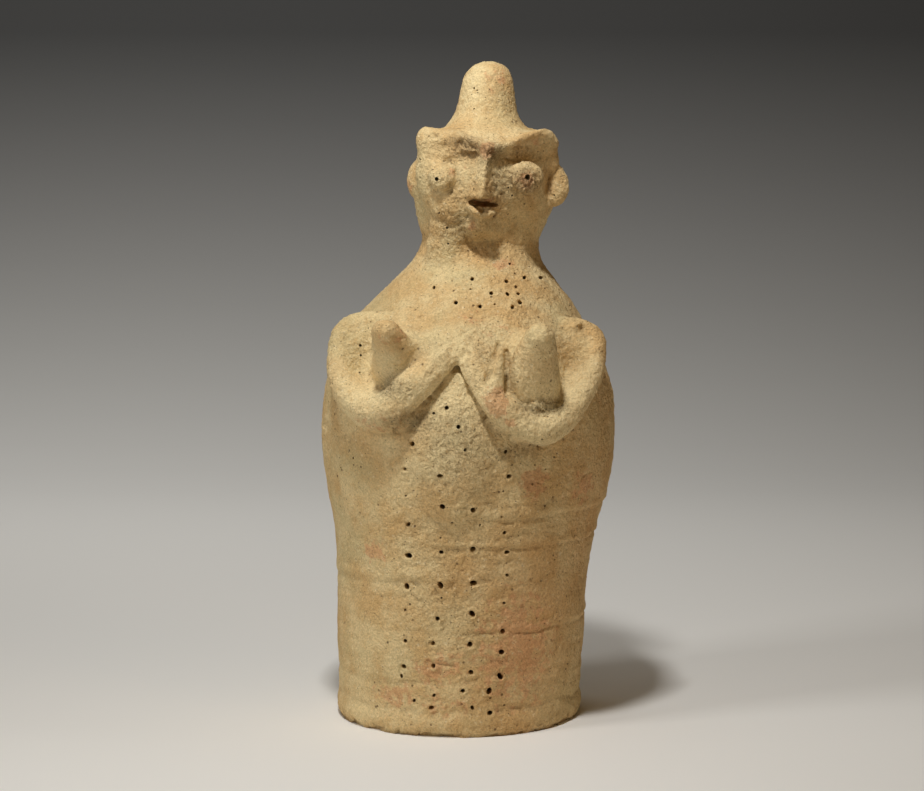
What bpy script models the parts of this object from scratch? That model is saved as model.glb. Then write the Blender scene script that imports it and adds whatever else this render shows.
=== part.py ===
"""A terracotta fertility figurine: one hollow piece of fired clay, thrown on a wheel and finished by hand.

The body is a thrown jar, open below. The head, its topknot, the arms, the breasts and the features of the
face are lumps, pellets and coils of clay pressed on before firing. Lengths are in metres, +Z is up, the
figure faces -Y, and the origin is the middle of the foot that it stands on.
"""
import math

import bmesh
import bpy
from mathutils import Matrix, Vector

# Driving dimensions
HEIGHT = 0.250          # foot to the top of the topknot
WALL = 0.007            # thickness of the thrown wall
HOLLOW_TOP = 0.166      # how high the hollow reaches before the shoulders close over it
PRICK_WIDTH = 0.0021    # the widest of the pricked holes
PRICK_SHARE = 0.6       # how much of the wall a prick goes through
PUPIL_WIDTH = 0.0016    # pinholes in the eye pellets
PUPIL_DEPTH = 0.004

# The figure's pose and proportions are drawn in 250ths of its height
UNIT = HEIGHT / 250

# How finely the clay is modelled
VOXEL = 1.1 * UNIT
RING_SIDES = 48
HOLLOW_SIDES = 32
HOLLOW_ROWS = 14
SOFTENING = 3           # smoothing passes that fuse the lumps as wet clay does
PRICK_SIDES = 6
SKIN_TRIANGLES = 7000

CLAY_COLOUR = (0.60, 0.45, 0.25, 1.0)
CLAY_ROUGHNESS = 0.92
SHARP_FROM = math.radians(50)

# The thrown body and neck: height, left edge, right edge, front, back
BODY = (
    (-6.0, -47.0, 46.8, -47.0, 47.0),
    (0.0, -47.2, 46.8, -47.0, 47.0),
    (4.5, -47.8, 47.0, -47.3, 47.3),
    (9.5, -46.8, 46.6, -46.4, 46.6),
    (30.0, -47.3, 47.8, -47.0, 47.0),
    (57.0, -47.2, 49.8, -47.5, 47.5),
    (74.0, -48.2, 52.9, -49.0, 48.5),
    (92.0, -51.5, 58.0, -51.5, 50.5),
    (110.0, -53.0, 59.5, -53.0, 52.0),
    (125.0, -51.6, 58.6, -52.5, 52.0),
    (140.0, -47.5, 54.0, -49.5, 49.5),
    (151.0, -41.0, 47.8, -44.0, 44.0),
    (159.0, -33.6, 42.8, -37.5, 38.0),
    (167.0, -25.4, 36.9, -30.0, 31.5),
    (175.0, -17.9, 31.2, -22.4, 25.0),
    (183.0, -14.2, 30.6, -19.0, 20.5),
    (196.0, -15.0, 34.0, -21.0, 18.5),
)

# The head, from under the chin to the brow: height, left edge, right edge, front, back
HEAD = (
    (176.0, -12.0, 27.0, -17.6, 16.0),
    (181.0, -13.2, 29.4, -19.8, 18.6),
    (186.0, -14.6, 31.6, -21.8, 19.6),
    (191.0, -15.8, 33.8, -23.6, 20.2),
    (196.0, -16.6, 36.0, -25.2, 20.6),
    (204.0, -16.8, 36.6, -26.4, 20.6),
    (212.0, -16.0, 36.6, -25.2, 19.4),
    (218.0, -15.4, 36.4, -24.4, 16.4),
    (222.5, -13.4, 34.0, -21.5, 12.6),
    (225.0, -8.0, 27.0, -15.0, 9.0),
)

# The topknot, which flares down into the brow
TOPKNOT = (
    (216.0, -8.0, 30.0, -28.4, 14.0),
    (219.5, -8.4, 29.5, -26.4, 14.0),
    (223.0, -7.0, 27.2, -21.2, 13.4),
    (226.0, -5.0, 24.8, -16.4, 12.4),
    (230.0, -2.0, 22.2, -12.6, 11.2),
    (235.0, -0.4, 21.3, -11.3, 10.5),
    (241.0, 0.6, 20.8, -10.5, 9.5),
    (245.5, 2.4, 19.6, -9.0, 8.0),
    (248.6, 5.4, 17.1, -6.0, 5.2),
    (250.1, 9.4, 13.2, -2.2, 1.4),
)

# The arms are coils, thin along the shoulder's rim and thick in the forearm: x, y, height and radius
LEFT_ARM = (
    (-22.0, -26.0, 151.6, 5.0),
    (-34.0, -24.0, 152.2, 4.6),
    (-42.0, -24.0, 149.4, 4.6),
    (-44.4, -28.0, 141.0, 4.8),
    (-42.8, -34.5, 131.8, 5.4),
    (-38.2, -38.6, 125.2, 6.4),
    (-31.0, -43.0, 121.6, 8.0),
    (-24.0, -46.8, 122.8, 8.4),
    (-18.0, -49.2, 129.8, 7.6),
    (-11.6, -50.2, 135.8, 6.6),
    (-5.6, -48.6, 142.6, 6.2),
)
RIGHT_ARM = (
    (30.0, -26.0, 149.0, 5.0),
    (41.0, -23.5, 150.0, 4.4),
    (48.8, -23.5, 147.4, 4.6),
    (49.6, -28.0, 139.4, 4.8),
    (46.6, -34.8, 131.2, 5.0),
    (42.6, -39.6, 125.6, 5.6),
    (36.8, -44.6, 118.8, 6.1),
    (29.2, -49.4, 115.4, 6.5),
    (20.6, -52.0, 118.2, 6.1),
    (13.4, -52.6, 124.6, 6.2),
    (8.4, -51.0, 133.0, 5.8),
    (3.6, -48.8, 141.0, 5.6),
)

# Lumps pressed on: middle (x, y, height), radii, and turns about X, Y and Z in degrees
LUMPS = {
    "left hand": ((-10.4, -47.6, 140.5), (9.4, 5.2, 10.0), (-24, -34, -6)),
    "right hand": ((7.6, -47.0, 139.5), (7.6, 5.0, 12.0), (-24, 30, 8)),
    "right palm": ((9.2, -48.0, 138.0), (6.6, 5.4, 9.4), (0, 24, 0)),
    "joined fingers": ((-0.6, -44.6, 146.6), (11.0, 5.8, 9.4), (-30, 0, 0)),
    "where the hands meet": ((-0.7, -46.6, 143.4), (8.0, 6.4, 5.2), (0, 0, 0)),
    "left upper arm": ((-36.4, -24.5, 138.5), (11.5, 8.5, 15.0), (0, 0, -30)),
    "right upper arm": ((41.8, -24.5, 137.0), (10.8, 8.5, 15.0), (0, 0, 30)),
    "belly": ((-1.0, -45.0, 108.0), (18.0, 11.0, 32.0), (0, 0, 0)),
    "left bosom": ((-20.4, -41.4, 140.5), (11.0, 8.0, 12.0), (-8, 0, 0)),
    "right bosom": ((24.6, -41.0, 138.5), (11.0, 8.4, 13.0), (-8, 0, 0)),
    "foot of the right breast": ((25.6, -43.8, 124.0), (10.8, 8.8, 6.6), (0, 0, 0)),
    "shoulder flake": ((42.6, -27.6, 152.3), (3.4, 1.8, 0.8), (0, -10, 0)),
    "left eye": ((-6.2, -24.2, 206.2), (5.6, 4.4, 5.4), (0, 0, -18)),
    "right eye": ((24.8, -24.4, 206.4), (6.6, 3.0, 6.6), (0, 0, 14)),
    "left ear": ((-14.6, -4.6, 205.6), (5.0, 6.6, 7.6), (0, 4, 16)),
    "right ear": ((35.0, -10.4, 203.6), (6.4, 3.0, 8.4), (0, -8, 4)),
    "left brow corner": ((-11.0, -15.6, 219.6), (5.6, 5.6, 6.4), (0, 0, -30)),
    "left temple": ((-9.4, -15.8, 208.0), (7.6, 6.4, 13.6), (0, 0, -35)),
    "right temple": ((31.6, -10.2, 213.4), (5.4, 6.2, 8.4), (0, 0, 50)),
    "right brow corner": ((31.2, -13.8, 218.8), (6.2, 6.0, 5.8), (0, 0, 40)),
    "under the left brow": ((-3.0, -17.5, 216.0), (8.0, 5.6, 6.5), (0, 0, -28)),
    "left brow shelf": ((-3.0, -13.5, 220.6), (12.0, 10.0, 4.0), (0, 0, -24)),
    "right brow shelf": ((23.0, -13.5, 220.2), (12.0, 10.0, 4.0), (0, 0, 26)),
    "left cheek": ((-2.4, -20.0, 200.0), (10.0, 5.8, 12.0), (0, 0, -22)),
    "left jaw": ((-3.0, -15.0, 188.0), (8.6, 7.4, 12.0), (0, 0, -28)),
    "left throat": ((-4.6, -15.0, 180.0), (8.6, 6.2, 9.0), (0, 0, -28)),
    "lower lip, left": ((5.6, -27.6, 194.2), (3.6, 3.2, 1.5), (0, 34, 0)),
    "lower lip, right": ((10.4, -27.4, 193.0), (3.4, 3.0, 1.3), (0, -16, 0)),
    "chin": ((7.6, -20.2, 190.0), (7.0, 6.2, 7.0), (0, 0, 0)),
}

# Horns of clay: root and tip (x, y, height), root radius, tip radius, flattening across
HORNS = {
    "left breast": ((-21.0, -40.5, 137.0), (-26.4, -55.6, 151.0), 12.0, 5.8, 0.8),
    "right breast": ((25.4, -42.6, 129.6), (28.8, -56.6, 149.6), 12.4, 5.6, 0.85),
    "right thumb": ((12.2, -52.8, 127.0), (15.0, -55.0, 145.4), 5.4, 1.5, 0.9),
}

# The nose is pinched up to a ridge: its height at the top and at the tip, and its sizes at those ends
NOSE_TOP = 219.6
NOSE_TIP = 198.8
NOSE_X = (10.6, 8.2)
NOSE_Y = -24.0
NOSE_REACH = (5.6, 12.6)
NOSE_LEFT = (3.6, 8.0)
NOSE_RIGHT = (4.6, 6.4)

# The brow's crest runs from corner to corner and dips over the nose: x, y, height and radius
BROW = (
    (-13.2, -15.5, 222.6, 2.6),
    (-6.0, -20.4, 223.2, 1.8),
    (1.0, -23.6, 221.8, 1.5),
    (7.0, -26.8, 219.4, 1.5),
    (12.0, -28.4, 218.0, 1.7),
    (17.0, -27.6, 218.4, 1.5),
    (23.0, -25.6, 221.0, 1.6),
    (29.0, -22.0, 222.9, 1.9),
    (33.6, -16.5, 221.8, 2.6),
)

# Finger presses: middle (x, y, height), reach across and upright, and how deep the clay gives way
PRESS_FALL = 1.2        # how quickly a press fades away from its middle
PRESS_BACK = 14.0       # how far behind its middle a press has died away
PRESSES = {
    "left socket": ((2.2, -27.5, 216.8), (5.6, 3.8), 1.2),
    "right socket": ((20.5, -27.0, 214.0), (6.4, 2.2), 1.2),
    "right temple": ((33.4, -14.0, 203.6), (1.7, 7.0), 4.2),
    "right brow face": ((26.0, -24.0, 216.2), (6.4, 3.0), 1.6),
    "right jowl": ((21.0, -21.0, 189.0), (8.0, 7.5), 3.6),
    "throat": ((11.0, -18.0, 182.0), (7.0, 4.0), 3.0),
    "bowl of left arm": ((-34.4, -33.0, 140.0), (6.0, 10.5), 4.5),
    "bowl of right arm": ((40.6, -33.0, 138.5), (5.2, 10.5), 4.5),
}

# Joins worked smooth with the fingers: middle (x, y, height), reach and number of strokes
KNEADED = {
    "bowl of left arm": ((-33.0, -34.0, 142.0), (9.5, 14.0, 15.0), 28),
    "bowl of right arm": ((39.5, -33.0, 140.0), (8.5, 14.0, 15.0), 28),
    "above the hands": ((-1.0, -48.0, 150.0), (19.0, 10.0, 9.0), 25),
    "foot of the belly": ((-1.0, -52.0, 86.0), (22.0, 10.0, 13.0), 34),
    "under the jaw": ((8.0, -18.0, 177.0), (34.0, 30.0, 5.0), 7),
    "back of the neck": ((8.0, 18.0, 178.0), (30.0, 20.0, 7.0), 34),
    "forehead": ((10.0, -18.0, 227.0), (24.0, 18.0, 5.0), 25),
    "left temple": ((-12.0, -18.0, 215.0), (8.0, 9.0, 7.5), 16),
    "right temple": ((32.0, -18.0, 215.0), (8.0, 10.0, 5.5), 25),
    "left ear": ((-15.5, -10.0, 204.0), (5.0, 8.0, 10.0), 11),
    "left cheek": ((3.0, -25.0, 203.0), (4.0, 6.0, 8.0), 8),
    "nose": ((8.0, -33.0, 207.0), (8.0, 9.0, 9.0), 2),
    "chin": ((8.0, -24.0, 186.0), (9.0, 6.0, 5.0), 4),
}

MOUTH = ((9.2, -29.0, 196.8), (6.3, 9.0, 1.6), (0, 8, 0))
PUPILS = ((-8.4, -25.4, 206.1), (25.2, -27.6, 206.8))

# Four rows of pricks run down the front: each row's pricks as height, x and share of the full width
PRICK_ROWS = (
    ((110.3, -17.1, 1.0), (100.7, -19.9, 0.7), (79.8, -18.7, 0.8), (68.0, -18.7, 1.0), (56.3, -19.4, 1.0),
     (47.4, -20.0, 0.6), (35.7, -20.0, 0.8), (26.0, -20.6, 0.9), (22.3, -21.5, 0.6), (13.4, -16.8, 0.6)),
    ((123.9, -4.6, 0.8), (117.1, -0.3, 0.8), (99.1, -7.0, 0.8), (87.5, -6.2, 1.0), (69.8, -6.6, 0.7),
     (57.5, -6.9, 1.0), (44.8, -8.0, 0.9), (35.6, -9.7, 0.9), (27.0, -9.6, 0.8), (11.1, -10.4, 0.8)),
    ((86.2, 5.0, 1.0), (71.2, 5.0, 1.0), (58.4, 5.2, 1.0), (46.8, 4.7, 1.0), (35.3, 3.9, 1.0),
     (24.8, 4.3, 1.0), (17.8, 1.3, 0.8), (11.3, 4.8, 0.7)),
    ((98.3, 18.1, 0.8), (69.6, 17.5, 0.7), (50.4, 16.5, 0.6), (39.9, 16.0, 1.0), (32.0, 15.6, 1.0),
     (22.7, 15.1, 1.0), (17.5, 11.0, 1.0), (9.1, 11.3, 0.9)),
)
CHEST_PRICKS = (
    (169.1, 4.8, 0.8), (168.2, 17.5, 0.8), (169.3, 24.3, 0.7), (168.9, 30.5, 0.8), (163.7, 21.8, 0.7),
    (164.1, 11.8, 0.8), (160.8, -1.3, 0.8), (159.5, 7.6, 0.8), (160.6, 22.4, 0.8), (159.0, 19.6, 0.7),
)


def at(point):
    """A point drawn in 250ths of the height, in metres."""
    return Vector(point) * UNIT


def smooth_profile(rows, height):
    """The row of a profile at a height, on a smooth curve through the profile's own rows."""
    last = len(rows) - 1
    place = max(i for i in range(last) if i == 0 or rows[i][0] <= height)
    low, high = rows[place], rows[place + 1]
    span = high[0] - low[0]
    t = min(max((height - low[0]) / span, 0.0), 1.0)
    result = []
    for k in range(1, len(low)):
        before = rows[max(place - 1, 0)]
        after = rows[min(place + 2, last)]
        start_slope = (high[k] - before[k]) / (high[0] - before[0]) * span
        end_slope = (after[k] - low[k]) / (after[0] - low[0]) * span
        result.append(
            (2 * t**3 - 3 * t**2 + 1) * low[k] + (t**3 - 2 * t**2 + t) * start_slope
            + (-2 * t**3 + 3 * t**2) * high[k] + (t**3 - t**2) * end_slope
        )
    return result


def loft(bm, rows, top, count, sides, wall=0.0):
    """A closed form through rings at even heights of a profile, or the space left inside a wall of it."""
    rings = []
    low = rows[0][0]
    for i in range(count):
        height = low + (top - low) * i / (count - 1)
        left, right, front, back = smooth_profile(rows, height)
        above = smooth_profile(rows, height + 1.0)
        slope = (above[1] - above[0] - right + left) / 2
        inset = wall * math.sqrt(1.0 + slope**2)
        middle = Vector(((left + right) / 2, (front + back) / 2, height)) * UNIT
        half_width = (right - left) / 2 * UNIT - inset
        half_depth = (back - front) / 2 * UNIT - inset
        place = Matrix.Translation(middle) @ Matrix.Diagonal((half_width, half_depth, 1.0, 1.0))
        ends = i in (0, count - 1)
        ring = bmesh.ops.create_circle(bm, cap_ends=ends, segments=sides, radius=1.0, matrix=place)
        rings.append(ring["verts"])
    for lower, upper in zip(rings, rings[1:]):
        edges = {e for ring in (lower, upper) for v in ring for e in v.link_edges if e.other_vert(v) in ring}
        bmesh.ops.bridge_loops(bm, edges=list(edges))


def body_skin(x, height):
    """How far forward the thrown body's front lies at a place, both in 250ths of the height."""
    left, right, front, back = smooth_profile(BODY, height)
    across = (x - (left + right) / 2) / ((right - left) / 2)
    reach = math.sqrt(max(1.0 - across**2, 0.0))
    return (front + back) / 2 - (back - front) / 2 * reach


def coil(bm, points):
    """A rolled coil of clay along points given as x, y, height and radius."""
    curve = bpy.data.curves.new("coil", "CURVE")
    curve.dimensions = "3D"
    curve.bevel_depth = UNIT
    curve.bevel_resolution = 4
    curve.resolution_u = 8
    curve.use_fill_caps = True
    spline = curve.splines.new("BEZIER")
    spline.bezier_points.add(len(points) - 1)
    for knot, (x, y, height, radius) in zip(spline.bezier_points, points):
        knot.co = at((x, y, height))
        knot.radius = radius
        knot.handle_left_type = "AUTO"
        knot.handle_right_type = "AUTO"
    rolled = bpy.data.objects.new("coil", curve)
    bpy.context.scene.collection.objects.link(rolled)
    bpy.context.view_layer.update()
    mesh = bpy.data.meshes.new_from_object(rolled.evaluated_get(bpy.context.evaluated_depsgraph_get()))
    bm.from_mesh(mesh)
    bpy.data.objects.remove(rolled)
    bpy.data.curves.remove(curve)
    bpy.data.meshes.remove(mesh)


def lump(bm, middle, radii, turns):
    """A pellet of clay pressed on."""
    turn = Matrix.Identity(4)
    for axis, degrees in zip("XYZ", turns):
        turn = Matrix.Rotation(math.radians(degrees), 4, axis) @ turn
    shape = Matrix.Diagonal((*(at(radii)), 1.0))
    place = Matrix.Translation(at(middle)) @ turn @ shape
    bmesh.ops.create_uvsphere(bm, u_segments=24, v_segments=14, radius=1.0, matrix=place)


def horn(bm, root, tip, root_radius, tip_radius, flattening):
    """A tapering horn of clay with a rounded tip."""
    start, end = at(root), at(tip)
    axis = end - start
    turn = axis.to_track_quat("Z", "Y").to_matrix().to_4x4()
    shape = Matrix.Diagonal((1.0, flattening, 1.0, 1.0))
    place = Matrix.Translation((start + end) / 2) @ turn @ shape
    bmesh.ops.create_cone(
        bm, cap_ends=True, segments=24, radius1=root_radius * UNIT, radius2=tip_radius * UNIT,
        depth=axis.length, matrix=place
    )
    round_off = Matrix.Translation(end) @ turn @ shape
    bmesh.ops.create_uvsphere(bm, u_segments=24, v_segments=12, radius=tip_radius * UNIT, matrix=round_off)


def nose(bm):
    """The nose, pinched to a ridge that stands out most at its tip."""
    middle = at((sum(NOSE_X) / 2, NOSE_Y, (NOSE_TOP + NOSE_TIP) / 2))
    ridge = bmesh.ops.create_cone(
        bm, cap_ends=True, segments=4, radius1=1.0, radius2=1.0, depth=(NOSE_TOP - NOSE_TIP) * UNIT,
        matrix=Matrix.Translation(middle)
    )
    for vert in ridge["verts"]:
        end = 0 if vert.co.z > middle.z else 1
        across, forward = vert.co.x - middle.x, vert.co.y - middle.y
        side = NOSE_LEFT if across < 0 else NOSE_RIGHT
        vert.co.x = NOSE_X[end] * UNIT + across * side[end] * UNIT
        vert.co.y = NOSE_Y * UNIT + forward * NOSE_REACH[end] * UNIT


def keep(name, bm):
    """A new object that holds a bmesh."""
    bmesh.ops.recalc_face_normals(bm, faces=bm.faces)
    mesh = bpy.data.meshes.new(name)
    bm.to_mesh(mesh)
    bm.free()
    solid = bpy.data.objects.new(name, mesh)
    bpy.context.scene.collection.objects.link(solid)
    return solid


def settle(solid):
    """Applies an object's modifiers to its mesh."""
    bpy.context.view_layer.update()
    done = bpy.data.meshes.new_from_object(solid.evaluated_get(bpy.context.evaluated_depsgraph_get()))
    solid.modifiers.clear()
    solid.data = done


def clay_lumps():
    """Every lump, coil and thrown form, overlapping where they are pressed together."""
    bm = bmesh.new()
    for form, count in ((BODY, 44), (HEAD, 16), (TOPKNOT, 20)):
        loft(bm, form, form[-1][0], count, RING_SIDES)
    for points in (LEFT_ARM, RIGHT_ARM, BROW):
        coil(bm, points)
    nose(bm)
    for middle, radii, turns in LUMPS.values():
        lump(bm, middle, radii, turns)
    for horn_sizes in HORNS.values():
        horn(bm, *horn_sizes)
    return keep("clay", bm)


def press(solid, middle, reach, depth):
    """Pushes the clay in with a fingertip, from the front."""
    centre = at(middle)
    for vert in solid.data.vertices:
        fade = 1.0 - (vert.co.y - centre.y) / (PRESS_BACK * UNIT)
        if fade <= 0.0:
            continue
        across = (vert.co.x - centre.x) / (reach[0] * UNIT)
        upright = (vert.co.z - centre.z) / (reach[1] * UNIT)
        give = math.exp(-PRESS_FALL * (across**2 + upright**2))
        vert.co.y += depth * UNIT * min(fade, 1.0) * give


def knead(bm, middle, reach, strokes):
    """Works one place smooth with the fingers."""
    centre, size = at(middle), at(reach)
    place = [v for v in bm.verts if sum(((v.co[k] - centre[k]) / size[k]) ** 2 for k in range(3)) < 1.0]
    for _ in range(strokes):
        bmesh.ops.smooth_vert(bm, verts=place, factor=0.5, use_axis_x=True, use_axis_y=True, use_axis_z=True)


def fuse(solid):
    """Makes the overlapping lumps one skin, presses in the hollows of the face and works the joins smooth."""
    remesh = solid.modifiers.new("one skin", "REMESH")
    remesh.mode = "VOXEL"
    remesh.voxel_size = VOXEL
    soften = solid.modifiers.new("soften", "SMOOTH")
    soften.factor = 0.5
    soften.iterations = SOFTENING
    settle(solid)
    for middle, reach, depth in PRESSES.values():
        press(solid, middle, reach, depth)
    bm = bmesh.new()
    bm.from_mesh(solid.data)
    for middle, reach, strokes in KNEADED.values():
        knead(bm, middle, reach, strokes)
    everything = bm.verts[:] + bm.edges[:] + bm.faces[:]
    cut = bmesh.ops.bisect_plane(
        bm, geom=everything, plane_co=(0, 0, 0), plane_no=(0, 0, -1), clear_outer=True
    )
    rim = [edge for edge in cut["geom_cut"] if isinstance(edge, bmesh.types.BMEdge)]
    bmesh.ops.holes_fill(bm, edges=rim, sides=0)
    bmesh.ops.triangulate(bm, faces=bm.faces)
    bm.to_mesh(solid.data)
    triangles = len(bm.faces)
    bm.free()
    thin = solid.modifiers.new("fewer faces", "DECIMATE")
    thin.ratio = SKIN_TRIANGLES / triangles
    settle(solid)


def hollow():
    """The space inside the thrown body, open at the foot and closed below the neck."""
    bm = bmesh.new()
    loft(bm, BODY, HOLLOW_TOP / UNIT, HOLLOW_ROWS, HOLLOW_SIDES, wall=WALL)
    return keep("hollow", bm)


def pricks():
    """The pricked holes: short pegs set square to the skin, one for each prick."""
    bm = bmesh.new()
    for rows in (*PRICK_ROWS, CHEST_PRICKS):
        for height, x, share in rows:
            skin = Vector((x, body_skin(x, height), height))
            beside = Vector((x + 1, body_skin(x + 1, height), height)) - skin
            above = Vector((x, body_skin(x, height + 1), height + 1)) - skin
            outward = above.cross(beside).normalized()
            if outward.y > 0:
                outward.negate()
            turn = outward.to_track_quat("Z", "Y").to_matrix().to_4x4()
            width = PRICK_WIDTH * share
            bmesh.ops.create_cone(
                bm, cap_ends=True, segments=PRICK_SIDES, radius1=0.3 * width, radius2=0.7 * width,
                depth=2 * PRICK_SHARE * WALL, matrix=Matrix.Translation(skin * UNIT) @ turn
            )
    return keep("pricks", bm)


def face_cuts():
    """The slit of the mouth and the pinholes in the eyes."""
    bm = bmesh.new()
    lump(bm, *MOUTH)
    for x, y, height in PUPILS:
        place = Matrix.Translation(at((x, y, height))) @ Matrix.Rotation(math.pi / 2, 4, "X")
        bmesh.ops.create_cone(
            bm, cap_ends=True, segments=PRICK_SIDES, radius1=PUPIL_WIDTH / 2, radius2=PUPIL_WIDTH / 2,
            depth=2 * PUPIL_DEPTH, matrix=place
        )
    return keep("face cuts", bm)


def cut_away(solid, cutter):
    """Cuts one closed shape out of another."""
    cutter.hide_render = True
    cutter.display_type = "WIRE"
    cut = solid.modifiers.new(cutter.name, "BOOLEAN")
    cut.operation = "DIFFERENCE"
    cut.solver = "EXACT"
    cut.object = cutter


def fired_clay():
    """Pale buff earthenware, unglazed."""
    clay = bpy.data.materials.new("fired clay")
    clay.use_nodes = True
    shader = clay.node_tree.nodes["Principled BSDF"]
    shader.inputs["Base Color"].default_value = CLAY_COLOUR
    shader.inputs["Roughness"].default_value = CLAY_ROUGHNESS
    shader.inputs["Metallic"].default_value = 0.0
    return clay


def stand_on_middle(solid):
    """Puts the middle of the figure's outline over the origin, with the foot at height zero."""
    corners = [Vector(corner) for corner in solid.bound_box]
    low, high = corners[0], corners[6]
    solid.data.transform(Matrix.Translation((-(low.x + high.x) / 2, -(low.y + high.y) / 2, -low.z)))


def figurine():
    """The whole figure: one closed piece of clay."""
    solid = clay_lumps()
    fuse(solid)
    for cutter in (hollow(), pricks(), face_cuts()):
        cut_away(solid, cutter)
    settle(solid)
    stand_on_middle(solid)
    solid.name = "terracotta_figurine"
    solid.data.materials.append(fired_clay())
    solid.data.shade_smooth()
    solid.data.set_sharp_from_angle(angle=SHARP_FROM)


for old in list(bpy.data.objects):
    bpy.data.objects.remove(old)
figurine()
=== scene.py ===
"""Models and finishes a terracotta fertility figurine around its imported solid.

The figure is one hollow piece of fired clay: a jar thrown on a wheel, with a head, topknot, arms, breasts
and features pressed on by hand. The clay is drawn in parts of the figure's height, in a frame that has its
origin on the wheel's axis at the foot, and is then put where the solid stands.
"""
import math

import bmesh
import bpy
import numpy as np
from mathutils import Matrix, Vector, noise
from mathutils.bvhtree import BVHTree


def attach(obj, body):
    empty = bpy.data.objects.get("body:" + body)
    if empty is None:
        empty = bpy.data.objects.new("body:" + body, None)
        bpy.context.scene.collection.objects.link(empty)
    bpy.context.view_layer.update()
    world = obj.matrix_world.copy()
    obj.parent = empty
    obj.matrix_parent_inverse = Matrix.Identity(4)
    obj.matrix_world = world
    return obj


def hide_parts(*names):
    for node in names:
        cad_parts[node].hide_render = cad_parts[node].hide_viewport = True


bl_info = {
    "name": "Terracotta fertility figurine",
    "version": (1, 0, 0),
    "blender": (4, 5, 0),
    "location": "3D View > Sidebar > Figurine",
    "description": "Models a hollow thrown clay figurine and sets it on a studio sweep",
    "category": "Object",
}

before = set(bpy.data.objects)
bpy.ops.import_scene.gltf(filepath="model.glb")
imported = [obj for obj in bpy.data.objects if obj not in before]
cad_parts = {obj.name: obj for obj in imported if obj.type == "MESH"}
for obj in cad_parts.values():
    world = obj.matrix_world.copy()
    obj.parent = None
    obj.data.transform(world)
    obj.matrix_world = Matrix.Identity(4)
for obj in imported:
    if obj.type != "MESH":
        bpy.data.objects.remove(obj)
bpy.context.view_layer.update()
CAD_NODE = "terracotta_figurine"

PARTS = 250                     # the clay is drawn in this many parts of the figure's height
FOOT_MIDDLE = (-0.2, 0.0)       # where the middle of the foot lies in the drawing: x, y

# How finely the clay is modelled
VOXEL = 0.58                    # size of the cells that join the lumps into one skin
SOFTENING = (6, 1)              # smoothing strokes after the lumps are joined, and after the hand work
BODY_ROWS, HEAD_ROWS, TOPKNOT_ROWS, RING_SIDES = 90, 32, 36, 96
HOLLOW_ROWS, HOLLOW_SIDES = 60, 72
HOLE_SIDES = 12
SHARP_FROM = math.radians(62)   # edges sharper than this stay crisp
THINNING_STEPS = 20             # how finely the places to thin out are told apart

# The thrown body and neck: height, left edge, right edge, front, back
BODY = (
    (-6.0, -47.0, 46.8, -47.0, 47.0),
    (0.0, -47.2, 46.8, -47.0, 47.0),
    (4.5, -47.8, 47.0, -47.3, 47.3),
    (9.5, -46.8, 46.6, -46.4, 46.6),
    (30.0, -47.3, 47.8, -47.0, 47.0),
    (57.0, -47.2, 49.8, -47.5, 47.5),
    (74.0, -48.2, 52.9, -49.0, 48.5),
    (92.0, -51.5, 58.0, -51.5, 50.5),
    (110.0, -53.0, 59.5, -53.0, 52.0),
    (125.0, -51.6, 58.6, -52.5, 52.0),
    (140.0, -47.5, 54.0, -49.5, 49.5),
    (151.0, -41.0, 47.8, -44.0, 44.0),
    (159.0, -33.6, 42.8, -37.5, 38.0),
    (167.0, -25.4, 36.9, -30.0, 31.5),
    (175.0, -17.9, 31.2, -22.4, 25.0),
    (183.0, -14.2, 30.6, -19.0, 20.5),
    (196.0, -15.0, 34.0, -21.0, 18.5),
)

# The head, from under the chin to the brow, and the topknot that flares down into it
HEAD = (
    (176.0, -12.0, 27.0, -17.6, 16.0),
    (181.0, -13.2, 29.4, -19.8, 18.6),
    (186.0, -14.6, 31.6, -21.8, 19.6),
    (191.0, -15.8, 33.8, -23.6, 20.2),
    (196.0, -16.6, 36.0, -25.2, 20.6),
    (204.0, -16.8, 36.6, -26.4, 20.6),
    (212.0, -16.0, 36.6, -25.2, 19.4),
    (218.0, -15.4, 36.4, -24.4, 16.4),
    (222.5, -13.4, 34.0, -21.5, 12.6),
    (225.0, -8.0, 27.0, -15.0, 9.0),
)
TOPKNOT = (
    (216.0, -8.0, 30.0, -28.4, 14.0),
    (219.5, -8.4, 29.5, -26.4, 14.0),
    (223.0, -7.0, 27.2, -21.2, 13.4),
    (226.0, -5.0, 24.8, -16.4, 12.4),
    (230.0, -2.0, 22.2, -12.6, 11.2),
    (235.0, -0.4, 21.3, -11.3, 10.5),
    (241.0, 0.6, 20.8, -10.5, 9.5),
    (245.5, 2.4, 19.6, -9.0, 8.0),
    (248.6, 5.4, 17.1, -6.0, 5.2),
    (250.1, 9.4, 13.2, -2.2, 1.4),
)

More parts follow.
